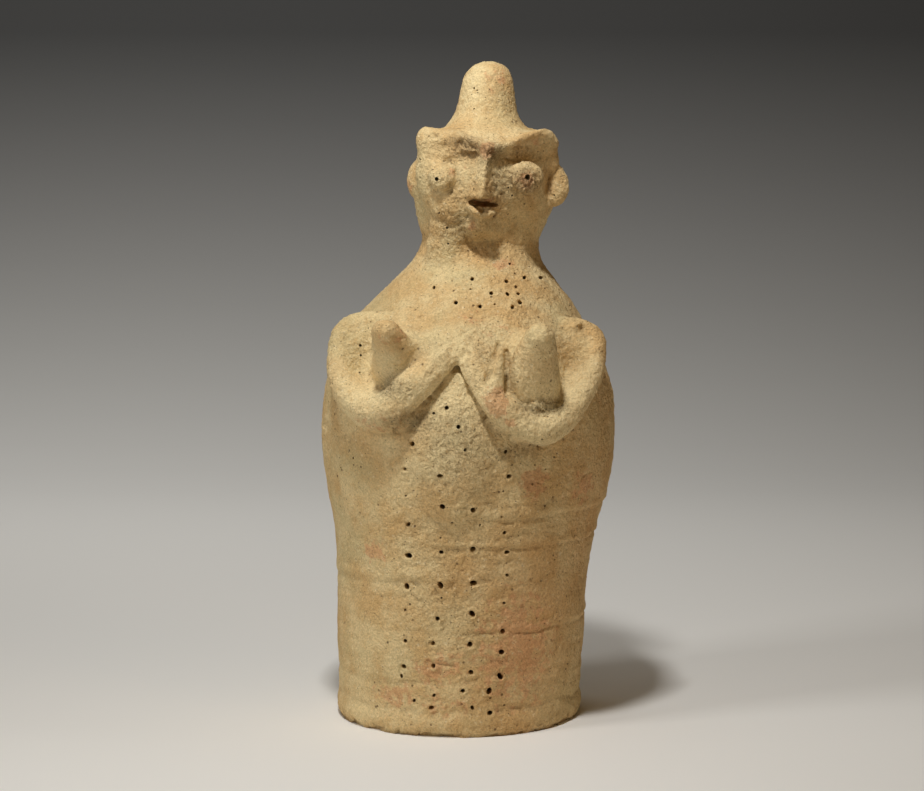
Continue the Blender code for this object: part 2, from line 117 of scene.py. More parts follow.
# The arms are coils, thin along the shoulder's rim and thick in the forearm: x, y, height and radius
LEFT_ARM = (
    (-22.0, -26.0, 151.6, 5.0),
    (-34.0, -24.0, 152.2, 4.6),
    (-42.0, -24.0, 149.4, 4.6),
    (-44.4, -28.0, 141.0, 4.8),
    (-42.8, -34.5, 131.8, 5.4),
    (-38.2, -38.6, 125.2, 6.4),
    (-31.0, -43.0, 121.6, 8.0),
    (-24.0, -46.8, 122.8, 8.4),
    (-18.0, -49.2, 129.8, 7.6),
    (-11.6, -50.2, 135.8, 6.6),
    (-5.6, -48.6, 142.6, 6.2),
)
RIGHT_ARM = (
    (30.0, -26.0, 149.0, 5.0),
    (41.0, -23.5, 150.0, 4.4),
    (48.8, -23.5, 147.4, 4.6),
    (49.6, -28.0, 139.4, 4.8),
    (46.6, -34.8, 131.2, 5.0),
    (42.6, -39.6, 125.6, 5.6),
    (36.8, -44.6, 118.8, 6.1),
    (29.2, -49.4, 115.4, 6.5),
    (20.6, -52.0, 118.2, 6.1),
    (13.4, -52.6, 124.6, 6.2),
    (8.4, -51.0, 133.0, 5.8),
    (3.6, -48.8, 141.0, 5.6),
)

# Lumps pressed on: middle (x, y, height), radii, and any turns about X, Y and Z in degrees
LUMPS = {
    "left hand": ((-10.4, -47.6, 140.5), (9.4, 5.2, 10.0), (-24, -34, -6)),
    "right hand": ((7.6, -47.0, 139.5), (7.6, 5.0, 12.0), (-24, 30, 8)),
    "right palm": ((9.2, -48.0, 138.0), (6.6, 5.4, 9.4), (0, 24, 0)),
    "joined fingers": ((-0.6, -44.6, 146.6), (11.0, 5.8, 9.4), (-30, 0, 0)),
    "where the hands meet": ((-0.7, -46.6, 143.4), (8.0, 6.4, 5.2)),
    "left upper arm": ((-36.4, -24.5, 138.5), (11.5, 8.5, 15.0), (0, 0, -30)),
    "right upper arm": ((41.8, -24.5, 137.0), (10.8, 8.5, 15.0), (0, 0, 30)),
    "belly": ((-1.0, -45.0, 108.0), (18.0, 11.0, 32.0)),
    "left bosom": ((-20.4, -41.4, 140.5), (11.0, 8.0, 12.0), (-8, 0, 0)),
    "right bosom": ((24.6, -41.0, 138.5), (11.0, 8.4, 13.0), (-8, 0, 0)),
    "foot of the right breast": ((25.6, -43.8, 124.0), (10.8, 8.8, 6.6)),
    "shoulder flake": ((42.6, -27.6, 152.3), (3.4, 1.8, 0.8), (0, -10, 0)),
    "left eye": ((-6.2, -24.2, 206.2), (5.6, 4.4, 5.4), (0, 0, -18)),
    "right eye": ((24.8, -24.4, 206.4), (6.6, 3.0, 6.6), (0, 0, 14)),
    "left ear": ((-14.6, -4.6, 205.6), (5.0, 6.6, 7.6), (0, 4, 16)),
    "right ear": ((35.0, -10.4, 203.6), (6.4, 3.0, 8.4), (0, -8, 4)),
    "left brow corner": ((-11.0, -15.6, 219.6), (5.6, 5.6, 6.4), (0, 0, -30)),
    "left temple": ((-9.4, -15.8, 208.0), (7.6, 6.4, 13.6), (0, 0, -35)),
    "right temple": ((31.6, -10.2, 213.4), (5.4, 6.2, 8.4), (0, 0, 50)),
    "right brow corner": ((31.2, -13.8, 218.8), (6.2, 6.0, 5.8), (0, 0, 40)),
    "under the left brow": ((-3.0, -17.5, 216.0), (8.0, 5.6, 6.5), (0, 0, -28)),
    "left brow shelf": ((-3.0, -13.5, 220.6), (12.0, 10.0, 4.0), (0, 0, -24)),
    "right brow shelf": ((23.0, -13.5, 220.2), (12.0, 10.0, 4.0), (0, 0, 26)),
    "left cheek": ((-2.4, -20.0, 200.0), (10.0, 5.8, 12.0), (0, 0, -22)),
    "left jaw": ((-3.0, -15.0, 188.0), (8.6, 7.4, 12.0), (0, 0, -28)),
    "left throat": ((-4.6, -15.0, 180.0), (8.6, 6.2, 9.0), (0, 0, -28)),
    "lower lip, left": ((5.6, -27.6, 194.2), (3.6, 3.2, 1.5), (0, 34, 0)),
    "lower lip, right": ((10.4, -27.4, 193.0), (3.4, 3.0, 1.3), (0, -16, 0)),
    "chin": ((7.6, -20.2, 190.0), (7.0, 6.2, 7.0)),
}

# Horns of clay: root and tip (x, y, height), root radius, tip radius, flattening across
HORNS = {
    "left breast": ((-21.0, -40.5, 137.0), (-26.4, -55.6, 151.0), 12.0, 5.8, 0.8),
    "right breast": ((25.4, -42.6, 129.6), (28.8, -56.6, 149.6), 12.4, 5.6, 0.85),
    "right thumb": ((12.2, -52.8, 127.0), (15.0, -55.0, 145.4), 5.4, 1.5, 0.9),
}

# The nose is pinched up to a ridge: its heights at the top and the tip, and its sizes at those ends
NOSE_TOP = 219.6
NOSE_TIP = 198.8
NOSE_X = (10.6, 8.2)
NOSE_Y = -24.0
NOSE_REACH = (5.6, 12.6)
NOSE_LEFT = (3.6, 8.0)
NOSE_RIGHT = (4.6, 6.4)

# The brow's crest: x, y, height and radius
BROW = (
    (-13.2, -15.5, 222.6, 2.6),
    (-6.0, -20.4, 223.2, 1.8),
    (1.0, -23.6, 221.8, 1.5),
    (7.0, -26.8, 219.4, 1.5),
    (12.0, -28.4, 218.0, 1.7),
    (17.0, -27.6, 218.4, 1.5),
    (23.0, -25.6, 221.0, 1.6),
    (29.0, -22.0, 222.9, 1.9),
    (33.6, -16.5, 221.8, 2.6),
)

# Finger presses: middle (x, y, height), reach across and upright, and how deep the clay gives way
PRESS_FALL = 1.2                # how quickly a press fades away from its middle
PRESS_BACK = 14.0               # how far behind its middle a press has died away
PRESSES = {
    "left socket": ((2.2, -27.5, 216.8), (5.6, 3.8), 1.2),
    "right socket": ((20.5, -27.0, 214.0), (6.4, 2.2), 1.2),
    "right temple": ((33.4, -14.0, 203.6), (1.7, 7.0), 4.2),
    "right brow face": ((26.0, -24.0, 216.2), (6.4, 3.0), 1.6),
    "right jowl": ((21.0, -21.0, 189.0), (8.0, 7.5), 3.6),
    "throat": ((11.0, -18.0, 182.0), (7.0, 4.0), 3.0),
    "bowl of left arm": ((-34.4, -33.0, 140.0), (6.0, 10.5), 4.5),
    "bowl of right arm": ((40.6, -33.0, 138.5), (5.2, 10.5), 4.5),
}

# Joins worked smooth with the fingers: middle, reach and number of strokes
KNEADED = {
    "bowl of left arm": ((-33.0, -34.0, 142.0), (9.5, 14.0, 15.0), 100),
    "bowl of right arm": ((39.5, -33.0, 140.0), (8.5, 14.0, 15.0), 100),
    "above the hands": ((-1.0, -48.0, 150.0), (19.0, 10.0, 9.0), 90),
    "foot of the belly": ((-1.0, -52.0, 86.0), (22.0, 10.0, 13.0), 120),
    "under the jaw": ((8.0, -18.0, 177.0), (34.0, 30.0, 5.0), 24),
    "back of the neck": ((8.0, 18.0, 178.0), (30.0, 20.0, 7.0), 120),
    "forehead": ((10.0, -18.0, 227.0), (24.0, 18.0, 5.0), 90),
    "left temple": ((-12.0, -18.0, 215.0), (8.0, 9.0, 7.5), 60),
    "right temple": ((32.0, -18.0, 215.0), (8.0, 10.0, 5.5), 90),
    "left throat": ((-5.0, -18.0, 176.0), (12.0, 10.0, 6.0), 60),
    "left ear": ((-15.5, -10.0, 204.0), (5.0, 8.0, 10.0), 40),
    "left cheek": ((3.0, -25.0, 203.0), (4.0, 6.0, 8.0), 30),
    "nose": ((8.0, -33.0, 207.0), (8.0, 9.0, 9.0), 8),
    "chin": ((8.0, -24.0, 186.0), (9.0, 6.0, 5.0), 16),
}

# The slit of the mouth as a lump to cut away, and the pinholes of the eyes: x, y, height and width
MOUTH = ((9.2, -29.0, 196.8), (6.3, 9.0, 1.6), (0, 8, 0))
PUPILS = ((-8.4, -25.4, 206.1, 1.5), (25.2, -27.6, 206.8, 2.0))

# The pricked holes: shape of the pegs that cut them, then four rows down the front, those over the chest and
# stray ones, each as height, x and share of the full width
PRICK_TAPER = (0.40, 0.70)      # radii at the point and above the skin, as shares of a prick's width
PRICK_REACH = (4.0, 9.0)        # lengths of the pegs of small and of large pricks
LARGE_FROM = 0.6                # share of the full width past which a prick is large
PRICKS = (
    ((110.3, -17.1, 1.0), (100.7, -19.9, 0.7), (90.7, -19.6, 0.4), (79.8, -18.7, 0.8), (68.0, -18.7, 1.0),
     (56.3, -19.4, 1.0), (47.4, -20.0, 0.6), (35.7, -20.0, 0.8), (26.0, -20.6, 0.9), (22.3, -21.5, 0.6),
     (13.4, -16.8, 0.6)),
    ((123.9, -4.6, 0.8), (121.8, -9.3, 0.6), (117.1, -0.3, 0.8), (108.8, 2.2, 0.6), (99.1, -7.0, 0.8),
     (87.5, -6.2, 1.0), (81.3, -2.7, 0.45), (75.3, -6.9, 0.4), (69.8, -6.6, 0.7), (57.5, -6.9, 1.0),
     (52.7, -6.6, 0.4), (44.8, -8.0, 0.9), (35.6, -9.7, 0.9), (27.0, -9.6, 0.8), (15.8, -9.4, 0.6),
     (11.1, -10.4, 0.8)),
    ((86.2, 5.0, 1.0), (80.4, 7.6, 0.45), (71.2, 5.0, 1.0), (58.4, 5.2, 1.0), (46.8, 4.7, 1.0),
     (35.3, 3.9, 1.0), (24.8, 4.3, 1.0), (17.8, 1.3, 0.8), (11.3, 4.8, 0.7)),
    ((107.5, 16.8, 0.6), (98.3, 18.1, 0.8), (92.8, 16.1, 0.4), (83.2, 15.4, 0.45), (77.1, 16.6, 0.6),
     (69.6, 17.5, 0.7), (61.0, 17.6, 0.6), (50.4, 16.5, 0.6), (39.9, 16.0, 1.0), (32.0, 15.6, 1.0),
     (22.7, 15.1, 1.0), (17.5, 11.0, 1.0), (9.1, 11.3, 0.9)),
    ((169.1, 4.8, 0.8), (168.2, 17.5, 0.8), (169.3, 24.3, 0.7), (168.9, 30.5, 0.8), (166.1, 21.0, 0.6),
     (163.7, 21.8, 0.7), (164.1, 11.8, 0.8), (165.6, 4.1, 0.4), (163.7, 17.8, 0.6), (165.9, -9.4, 0.6),
     (160.8, -1.3, 0.8), (159.5, 7.6, 0.8), (160.6, 22.4, 0.8), (159.0, 19.6, 0.7), (160.2, 13.1, 0.4),
     (174.4, 18.9, 0.45)),
    ((102.1, 27.7, 0.35), (100.3, 31.7, 0.35), (104.5, 34.9, 0.35), (103.0, -39.4, 0.35),
     (98.5, -44.4, 0.35), (144.6, -36.8, 0.6), (141.0, -36.6, 0.45), (134.7, -36.9, 0.35),
     (239.9, 5.5, 0.35), (239.1, 6.6, 0.3), (232.2, 5.5, 0.35), (199.9, 35.6, 0.4), (188.0, -4.5, 0.5),
     (193.4, -7.6, 0.35), (182.0, -4.2, 0.35), (200.0, 19.6, 0.4), (202.8, 18.2, 0.4),
     (196.7, 24.2, 0.35), (213.4, -14.7, 0.35), (206.7, -14.7, 0.3), (124.0, 37.5, 0.3),
     (116.0, -24.0, 0.4), (112.5, 30.0, 0.35)),
)

# Places where the slip is gone and the clay is torn and crumbly: middle, reach and strength
CRUMBLY = {
    "face": ((9.0, -27.0, 203.0), (24.0, 10.0, 22.0), 0.45),
    "jaw": ((0.0, -22.0, 189.0), (12.0, 10.0, 9.0), 0.8),
    "belly": ((0.0, -55.0, 110.0), (19.0, 12.0, 18.0), 0.65),
    "under left arm": ((-17.0, -52.0, 119.0), (16.0, 9.0, 4.5), 1.0),
    "under right arm": ((24.0, -54.0, 107.0), (18.0, 9.0, 4.0), 1.0),
    "left socket": ((2.0, -27.0, 217.5), (8.0, 6.0, 4.8), 1.6),
    "root of the nose": ((12.6, -30.0, 215.0), (6.0, 6.0, 5.0), 1.7),
    "in the left arm": ((-23.0, -50.0, 131.0), (9.0, 9.0, 4.0), 1.3),
    "in the right arm": ((28.0, -51.0, 123.5), (11.0, 9.0, 3.0), 1.2),
    "right hand": ((9.0, -51.0, 143.0), (5.0, 6.0, 6.0), 0.6),
    "right eye": ((24.6, -27.0, 205.0), (6.4, 4.0, 6.5), 1.5),
    "right brow": ((24.0, -26.0, 215.0), (8.0, 5.0, 4.0), 0.8),
    "beside the nose": ((15.5, -27.0, 204.0), (5.0, 5.0, 9.0), 1.3),
    "lower front": ((-4.0, -47.0, 66.0), (20.0, 12.0, 34.0), 0.25),
}

# Grooves drawn with a fingertip or a nail: start and end (x, height), depth and width
STROKES = (
    ((-19.0, 141.0), (-10.0, 150.0), 0.30, 1.1),
    ((-16.0, 137.0), (-6.0, 147.5), 0.30, 1.1),
    ((-12.0, 134.5), (-2.5, 144.0), 0.30, 1.1),
    ((2.2, 145.0), (5.4, 140.5), 0.35, 0.8),
    ((4.4, 149.0), (8.2, 143.0), 0.40, 0.8),
    ((8.4, 147.0), (10.6, 140.5), 0.30, 0.7),
    ((17.4, 144.0), (17.0, 130.0), 1.2, 0.7),
    ((14.2, 146.0), (9.4, 133.0), 1.1, 0.9),
    ((-23.7, 114.0), (-10.6, 127.2), 1.3, 0.7),
    ((-10.6, 127.2), (-1.0, 138.0), 1.6, 0.6),
    ((-0.9, 138.0), (2.4, 131.6), 1.6, 0.6),
    ((2.4, 131.6), (9.3, 119.9), 1.6, 0.6),
    ((9.3, 119.9), (18.3, 112.9), 1.4, 0.7),
    ((18.3, 112.9), (29.6, 108.3), 1.0, 0.8),
    ((-11.5, 28.4), (-2.0, 27.2), 0.6, 0.7),
    ((17.0, 213.8), (22.0, 212.6), 0.9, 0.6),
    ((-3.4, 203.6), (-2.2, 198.0), 0.6, 0.7),
    ((19.2, 208.6), (18.8, 204.2), 0.6, 0.6),
    ((18.8, 204.2), (21.4, 200.6), 0.6, 0.6),
    ((21.4, 200.6), (26.0, 199.8), 0.5, 0.6),
    ((-1.0, 210.4), (-0.6, 205.0), 0.5, 0.6),
    ((-11.4, 206.5), (-10.8, 203.5), 0.4, 0.7),
    ((-10.8, 203.5), (-8.6, 201.4), 0.5, 0.7),
    ((-8.6, 201.4), (-3.0, 201.0), 0.4, 0.7),
)

# Ridges and grooves left by the wheel: height, rise across the front, how proud, width, and the side where
# each shows most, from -1 on the left to 1 on the right
THROWING = (
    (83.4, 1.0, 0.22, 1.6, 0.6),
    (81.0, 1.0, -0.20, 1.1, 0.6),
    (73.0, -0.6, 0.18, 1.3, 0.8),
    (71.0, -0.6, -0.24, 0.8, 0.8),
    (61.6, 3.4, 0.34, 2.2, -0.8),
    (58.4, 3.4, -0.30, 1.4, -0.8),
    (52.0, 2.0, -0.20, 1.0, -0.9),
    (40.8, 0.0, 0.16, 1.2, 0.9),
    (39.0, 0.0, -0.28, 0.7, 0.9),
    (31.0, 1.0, 0.20, 2.4, 0.0),
    (21.6, 1.8, -0.28, 1.2, -0.6),
    (18.4, 1.8, 0.26, 1.4, 0.0),
    (9.8, 0.0, -0.46, 1.5, 0.0),
    (5.2, 0.4, 0.30, 2.2, 0.0),
)

# Places where the surface has worn through to pinker clay: middle (x, y, height), reach and strength
WORN = {
    "brow": ((10.5, -30.0, 217.0), (4.0, 5.0, 3.5), 1.3),
    "right brow": ((29.0, -24.0, 219.0), (4.0, 5.0, 3.0), 1.0),
    "left ear": ((-20.0, -6.0, 202.0), (3.0, 6.0, 5.0), 0.9),
    "by the left eye": ((-1.0, -26.0, 210.0), (4.0, 4.0, 4.0), 0.7),
    "right eye": ((24.6, -28.5, 205.0), (5.0, 4.0, 5.0), 0.9),
    "chin": ((4.0, -26.0, 188.0), (5.0, 5.0, 4.0), 0.6),
    "throat": ((15.0, -20.0, 174.0), (6.0, 6.0, 3.0), 0.9),
    "topknot": ((14.0, -8.0, 243.0), (6.0, 8.0, 8.0), 0.6),
    "left breast": ((-25.0, -56.0, 150.0), (7.0, 6.0, 5.0), 0.8),
    "right forearm": ((13.6, -57.0, 126.0), (4.6, 7.0, 5.6), 1.6),
    "right forearm, low": ((18.0, -56.0, 119.0), (4.0, 7.0, 2.4), 1.0),
    "mouth": ((9.0, -23.0, 197.6), (6.0, 5.0, 3.0), 1.0),
    "left forearm": ((-30.0, -50.0, 117.0), (14.0, 9.0, 7.0), 0.5),
    "breastbone": ((8.0, -42.0, 154.0), (14.0, 8.0, 8.0), 0.5),
    "belly, right": ((27.0, -46.0, 96.0), (6.0, 8.0, 7.0), 1.2),
    "side, right": ((44.0, -30.0, 92.0), (9.0, 14.0, 9.0), 0.8),
    "side, left": ((-31.0, -36.0, 68.0), (6.0, 9.0, 5.0), 1.0),
    "lower right": ((22.0, -42.0, 33.0), (22.0, 16.0, 26.0), 0.9),
    "lower middle": ((-8.0, -46.0, 26.0), (14.0, 9.0, 9.0), 0.7),
    "foot, left": ((-24.0, -40.0, 14.0), (14.0, 9.0, 7.0), 0.8),
    "foot, middle": ((-4.0, -46.0, 12.0), (12.0, 9.0, 6.0), 0.6),
}

# Places painted a deeper tan, partly the clay's own colour and partly painted warm shade on the shaded side:
# middle, reach and strength
TAN_AND_WARM_SHADE = {
    "lower right": ((28.0, -38.0, 40.0), (28.0, 24.0, 42.0), 1.0),
    "right side": ((48.0, -20.0, 72.0), (18.0, 26.0, 60.0), 0.9),
    "middle": ((6.0, -46.0, 60.0), (12.0, 10.0, 8.0), 0.6),
    "left socket": ((4.0, -26.0, 218.0), (9.0, 6.0, 5.0), 0.7),
    "right brow": ((26.0, -24.0, 216.0), (9.0, 6.0, 5.0), 0.7),
    "right eye": ((24.6, -28.0, 205.0), (7.0, 5.0, 7.0), 0.8),
}

# Places where the slip lies thickest, painted paler also as painted light on the arms, hands, belly and head:
# middle, reach and strength
PALE_SLIP_AND_LIGHT = {
    "left arm": ((-28.0, -44.0, 132.0), (24.0, 20.0, 20.0), 1.2),
    "right arm": ((32.0, -48.0, 128.0), (26.0, 20.0, 20.0), 1.3),
    "hands and belly": ((0.0, -52.0, 124.0), (17.0, 12.0, 28.0), 1.3),
    "topknot": ((6.0, -10.0, 238.0), (10.0, 12.0, 12.0), 0.6),
    "head": ((2.0, -24.0, 214.0), (20.0, 12.0, 14.0), 0.4),
}

# What the surface carries all over: the size of the clouds, their seed and how many octaves they have
GRAINS = {
    "swell": (17.0, 1, 2), "handling": (5.0, 2, 2), "flakes": (3.6, 3, 3), "crumbs": (1.7, 4, 3),
    "patches": (9.0, 5, 3), "tooth": (1.6, 6, 3), "foot": (11.0, 7, 2), "cracks": (5.0, 9, 3),
    "chips": (6.0, 10, 3), "lips": (1.5, 11, 1), "dust_and_foot_shade": (6.0, 12, 2), "wander of a ridge": (1.0, 21, 2),
    "fading of a ridge": (1.0, 22, 2), "fine rings": (1.0, 23, 2),
}

# How far each mark lifts or sinks the skin
MARKS = {
    "swell": 0.40, "handling": 0.16, "patches": 0.12, "tooth": 0.15, "foot": 0.9, "chips": 1.1,
    "foot's edge": 0.8, "torn": 0.24, "flakes": 0.36, "crumbs": 0.5, "cracks": 0.3, "lips": 0.42,
    "mouths of the pricks": 0.35, "ridges": 1.3, "fine rings": 0.182,
}

# The lamps: place and aim from the figure's axis, size in metres, power in watts, and colour
LAMPS = {
    "key": ((-0.05, -0.25, 0.60), (0.0, 0.0, 0.12), 0.05, 2.0, "#FFFFFF"),
    "left": ((-1.05, -0.55, 0.62), (0.0, 0.0, 0.12), 0.30, 4.3, "#FFFFFF"),
    "front": ((-0.10, -1.10, 0.36), (0.0, 0.0, 0.12), 0.35, 0.25, "#FFE2B4"),
    "right": ((0.90, -0.70, 0.40), (0.0, 0.0, 0.12), 0.40, 0.85, "#FFD9A8"),
    "wash": ((-0.30, 0.50, 0.90), (0.0, 1.6, 0.30), 0.8, 8.0, "#FFFFFF"),
}
ROOM_LIGHT = ("#C8A468", 0.08)  # colour and strength of what the room throws back
# The paper is painted darker towards the back: a painted fall-off of the lamps' light
PAINTED_FALLOFF = (-0.05, 1.43)     # how far back the paper's colour starts to turn dark, and is all dark

# The camera: place from the figure's axis in metres, degrees that it looks down, lens and film in mm
CAMERA_PLACE = (0.000976, -0.900, 0.215)
CAMERA_TILT = 5.848
CAMERA_LENS, CAMERA_FILM = 91.578, 36.0


def linear(code):
    """A colour given as an sRGB hex code, as the linear values that Blender mixes."""
    parts = [int(code[k:k + 2], 16) / 255 for k in (1, 3, 5)]
    return [c / 12.92 if c <= 0.04045 else ((c + 0.055) / 1.055) ** 2.4 for c in parts] + [1.0]


def length(name, description, default, least):
    """A length that can be set."""
    return bpy.props.FloatProperty(
        name=name, description=description, default=default, min=least, unit="LENGTH")


def tint(name, description, code):
    """A colour that can be set, with its sRGB hex code to start from."""
    return bpy.props.FloatVectorProperty(
        name=name, description=description, default=linear(code), subtype="COLOR", size=4, min=0, max=1)


class FigurineSizes(bpy.types.PropertyGroup):
    """Sizes of the figure and of its surface."""
    height: length("Height", "Foot to the top of the topknot", 0.250, 0.05)
    wall: length("Wall", "Thickness of the thrown wall", 0.007, 0.002)
    hollow_top: length("Hollow top", "How high the hollow reaches", 0.166, 0.02)
    prick: length("Prick width", "The widest of the pricked holes", 0.0021, 0.0005)
    relief: bpy.props.FloatProperty(
        name="Relief", description="How strongly the worn, hand-worked surface shows", default=1.0, min=0.0,
        max=3.0, subtype="FACTOR")
    triangles: bpy.props.IntProperty(
        name="Triangles", description="Triangles left in the skin before the holes are cut", default=178000,
        min=20000, max=190000)


class FigurineColours(bpy.types.PropertyGroup):
    """Colours of the clay, of what lies on it and of the studio."""
    clay: tint("Clay", "Fired clay under the slip", "#CDAA74")
    slip: tint("Slip", "Pale slip on the surface", "#DCC492")
    # The thick slip also paints light onto the arms, hands, belly and head
    pale_slip_and_light: tint("Thick slip", "The slip where it lies thickest", "#F0DCAA")
    grey_slip: tint("Greenish slip", "Greyer, greener patches of slip", "#C3B384")
    # The tan also paints warm shade on the shaded right side and under the brows
    tan: tint("Tan clay", "Clay fired or stained a deeper tan", "#C4905A")
    worn: tint("Worn clay", "Pinker clay where the surface has worn through", "#CE976A")
    lime: tint("Lime", "Pale grains in the slip", "#EAD9B0")
    cracks: tint("Cracks", "The shade between crumbs of torn clay", "#9A7446")
    # Soil, and also the painted shade in hollows, in the pricked holes and along the foot's lower edge
    soil_and_painted_shade: tint("Soil", "Earth left in holes and cracks", "#4A321E")
    floor: tint("Floor", "The sweep near the camera", "#F7F5EF")
    # The dark far end of the paper's painted fall-off of the light
    painted_far_shade: tint("Backdrop", "The sweep where it rises into the dark", "#4A4A49")


def unit_of(sizes):
    """The length of one part of the figure's height."""
    return sizes.height / PARTS


def smooth_profile(rows, height):
    """The row of a profile at a height, on a smooth curve through the profile's own rows."""
    last = len(rows) - 1
    place = max(i for i in range(last) if i == 0 or rows[i][0] <= height)
    low, high = rows[place], rows[place + 1]
    span = high[0] - low[0]
    t = min(max((height - low[0]) / span, 0.0), 1.0)
    result = []
    for k in range(1, len(low)):
        before = rows[max(place - 1, 0)]
        after = rows[min(place + 2, last)]
        start_slope = (high[k] - before[k]) / (high[0] - before[0]) * span
        end_slope = (after[k] - low[k]) / (after[0] - low[0]) * span
        result.append(
            (2 * t**3 - 3 * t**2 + 1) * low[k] + (t**3 - 2 * t**2 + t) * start_slope
            + (-2 * t**3 + 3 * t**2) * high[k] + (t**3 - t**2) * end_slope
        )
    return result


def body_skin(x, height):
    """How far forward the thrown body's front lies at a place."""
    left, right, front, back = smooth_profile(BODY, height)
    across = (x - (left + right) / 2) / ((right - left) / 2)
    reach = math.sqrt(max(1.0 - across**2, 0.0))
    return (front + back) / 2 - (back - front) / 2 * reach


def loft(bm, rows, top, count, sides, wall=0.0):
    """A closed form through rings at even heights of a profile, or the space left inside a wall of it."""
    rings = []
    low = rows[0][0]
    for i in range(count):
        height = low + (top - low) * i / (count - 1)
        left, right, front, back = smooth_profile(rows, height)
        above = smooth_profile(rows, height + 1.0)
        slope = (above[1] - above[0] - right + left) / 2
        inset = wall * math.sqrt(1.0 + slope**2)
        middle = Vector(((left + right) / 2, (front + back) / 2, height))
        size = Matrix.Diagonal(((right - left) / 2 - inset, (back - front) / 2 - inset, 1.0, 1.0))
        ends = i in (0, count - 1)
        ring = bmesh.ops.create_circle(
            bm, cap_ends=ends, segments=sides, radius=1.0, matrix=Matrix.Translation(middle) @ size)
        rings.append(set(ring["verts"]))
    for lower, upper in zip(rings, rings[1:]):
        edges = {e for ring in (lower, upper) for v in ring for e in v.link_edges if e.other_vert(v) in ring}
        bmesh.ops.bridge_loops(bm, edges=list(edges))


def coil(bm, points):
    """A rolled coil of clay along points given as x, y, height and radius."""
    curve = bpy.data.curves.new("coil", "CURVE")
    curve.dimensions = "3D"
    curve.bevel_depth = 1.0
    curve.bevel_resolution = 8
    curve.resolution_u = 12
    curve.use_fill_caps = True
    spline = curve.splines.new("BEZIER")
    spline.bezier_points.add(len(points) - 1)
    for knot, (x, y, height, radius) in zip(spline.bezier_points, points):
        knot.co = (x, y, height)
        knot.radius = radius
        knot.handle_left_type = "AUTO"
        knot.handle_right_type = "AUTO"
    rolled = bpy.data.objects.new("coil", curve)
    bpy.context.scene.collection.objects.link(rolled)
    bpy.context.view_layer.update()
    mesh = bpy.data.meshes.new_from_object(rolled.evaluated_get(bpy.context.evaluated_depsgraph_get()))
    bm.from_mesh(mesh)
    bpy.data.objects.remove(rolled)
    bpy.data.curves.remove(curve)
    bpy.data.meshes.remove(mesh)


def lump(bm, middle, radii, turns=(0, 0, 0)):
    """A pellet of clay pressed on."""
    turn = Matrix.Identity(4)
    for axis, degrees in zip("XYZ", turns):
        turn = Matrix.Rotation(math.radians(degrees), 4, axis) @ turn
    place = Matrix.Translation(Vector(middle)) @ turn @ Matrix.Diagonal((*radii, 1.0))
    bmesh.ops.create_uvsphere(bm, u_segments=40, v_segments=24, radius=1.0, matrix=place)


def horn(bm, root, tip, root_radius, tip_radius, flattening):
    """A tapering horn of clay with a rounded tip."""
    start, end = Vector(root), Vector(tip)
    axis = end - start
    turn = axis.to_track_quat("Z", "Y").to_matrix().to_4x4()
    shape = turn @ Matrix.Diagonal((1.0, flattening, 1.0, 1.0))
    bmesh.ops.create_cone(
        bm, cap_ends=True, segments=40, radius1=root_radius, radius2=tip_radius, depth=axis.length,
        matrix=Matrix.Translation((start + end) / 2) @ shape)
    bmesh.ops.create_uvsphere(
        bm, u_segments=40, v_segments=20, radius=tip_radius, matrix=Matrix.Translation(end) @ shape)


def nose(bm):
    """The nose, pinched to a ridge that stands out most at its tip."""
    middle = Vector((sum(NOSE_X) / 2, NOSE_Y, (NOSE_TOP + NOSE_TIP) / 2))
    ridge = bmesh.ops.create_cone(
        bm, cap_ends=True, segments=4, radius1=1.0, radius2=1.0, depth=NOSE_TOP - NOSE_TIP,
        matrix=Matrix.Translation(middle))
    for vert in ridge["verts"]:
        end = 0 if vert.co.z > middle.z else 1
        across, forward = vert.co.x - middle.x, vert.co.y - middle.y
        side = NOSE_LEFT if across < 0 else NOSE_RIGHT
        vert.co.x = NOSE_X[end] + across * side[end]
        vert.co.y = NOSE_Y + forward * NOSE_REACH[end]


def keep(name, bm):
    """A new object that holds a bmesh."""
    bmesh.ops.recalc_face_normals(bm, faces=bm.faces)
    mesh = bpy.data.meshes.new(name)
    bm.to_mesh(mesh)
    bm.free()
    solid = bpy.data.objects.new(name, mesh)
    bpy.context.scene.collection.objects.link(solid)
    return solid


def settle(solid):
    """Applies an object's modifiers to its mesh."""
    bpy.context.view_layer.update()
    done = bpy.data.meshes.new_from_object(solid.evaluated_get(bpy.context.evaluated_depsgraph_get()))
    solid.modifiers.clear()
    solid.data = done


def points_of(mesh):
    """A mesh's points and normals as rows of numbers."""
    points = np.empty(len(mesh.vertices) * 3, np.float32)
    mesh.vertices.foreach_get("co", points)
    normals = np.empty(len(mesh.vertices) * 3, np.float32)
    mesh.vertex_normals.foreach_get("vector", normals)
    return points.reshape(-1, 3).astype(float), normals.reshape(-1, 3).astype(float)


def grain(points, name):
    """A cloudy value from about -1 to 1 at each point, of one of the surface's grains."""
    size, seed, octaves = GRAINS[name]
    scaled = points / size + seed * np.array([17.3, 5.1, 9.7])
    return np.array([noise.fractal(p, 0.9, 2.0, octaves) for p in scaled.tolist()])


def near(points, middle, reach):
    """1 at the middle of a place, fading away to nothing over its reach."""
    away = ((points - np.array(middle)) / np.array(reach)) ** 2
    return np.exp(-1.2 * away.sum(1))


def zones(points, places):
    """The strongest of several places at each point."""
    strongest = np.zeros(len(points))
    for middle, reach, strength in places.values():
        strongest = np.maximum(strongest, strength * near(points, middle, reach))
    return strongest


def soft_step(low, high, values):
    """0 below low, 1 above high and a smooth step between."""
    t = np.clip((values - low) / (high - low), 0.0, 1.0)
    return t * t * (3 - 2 * t)


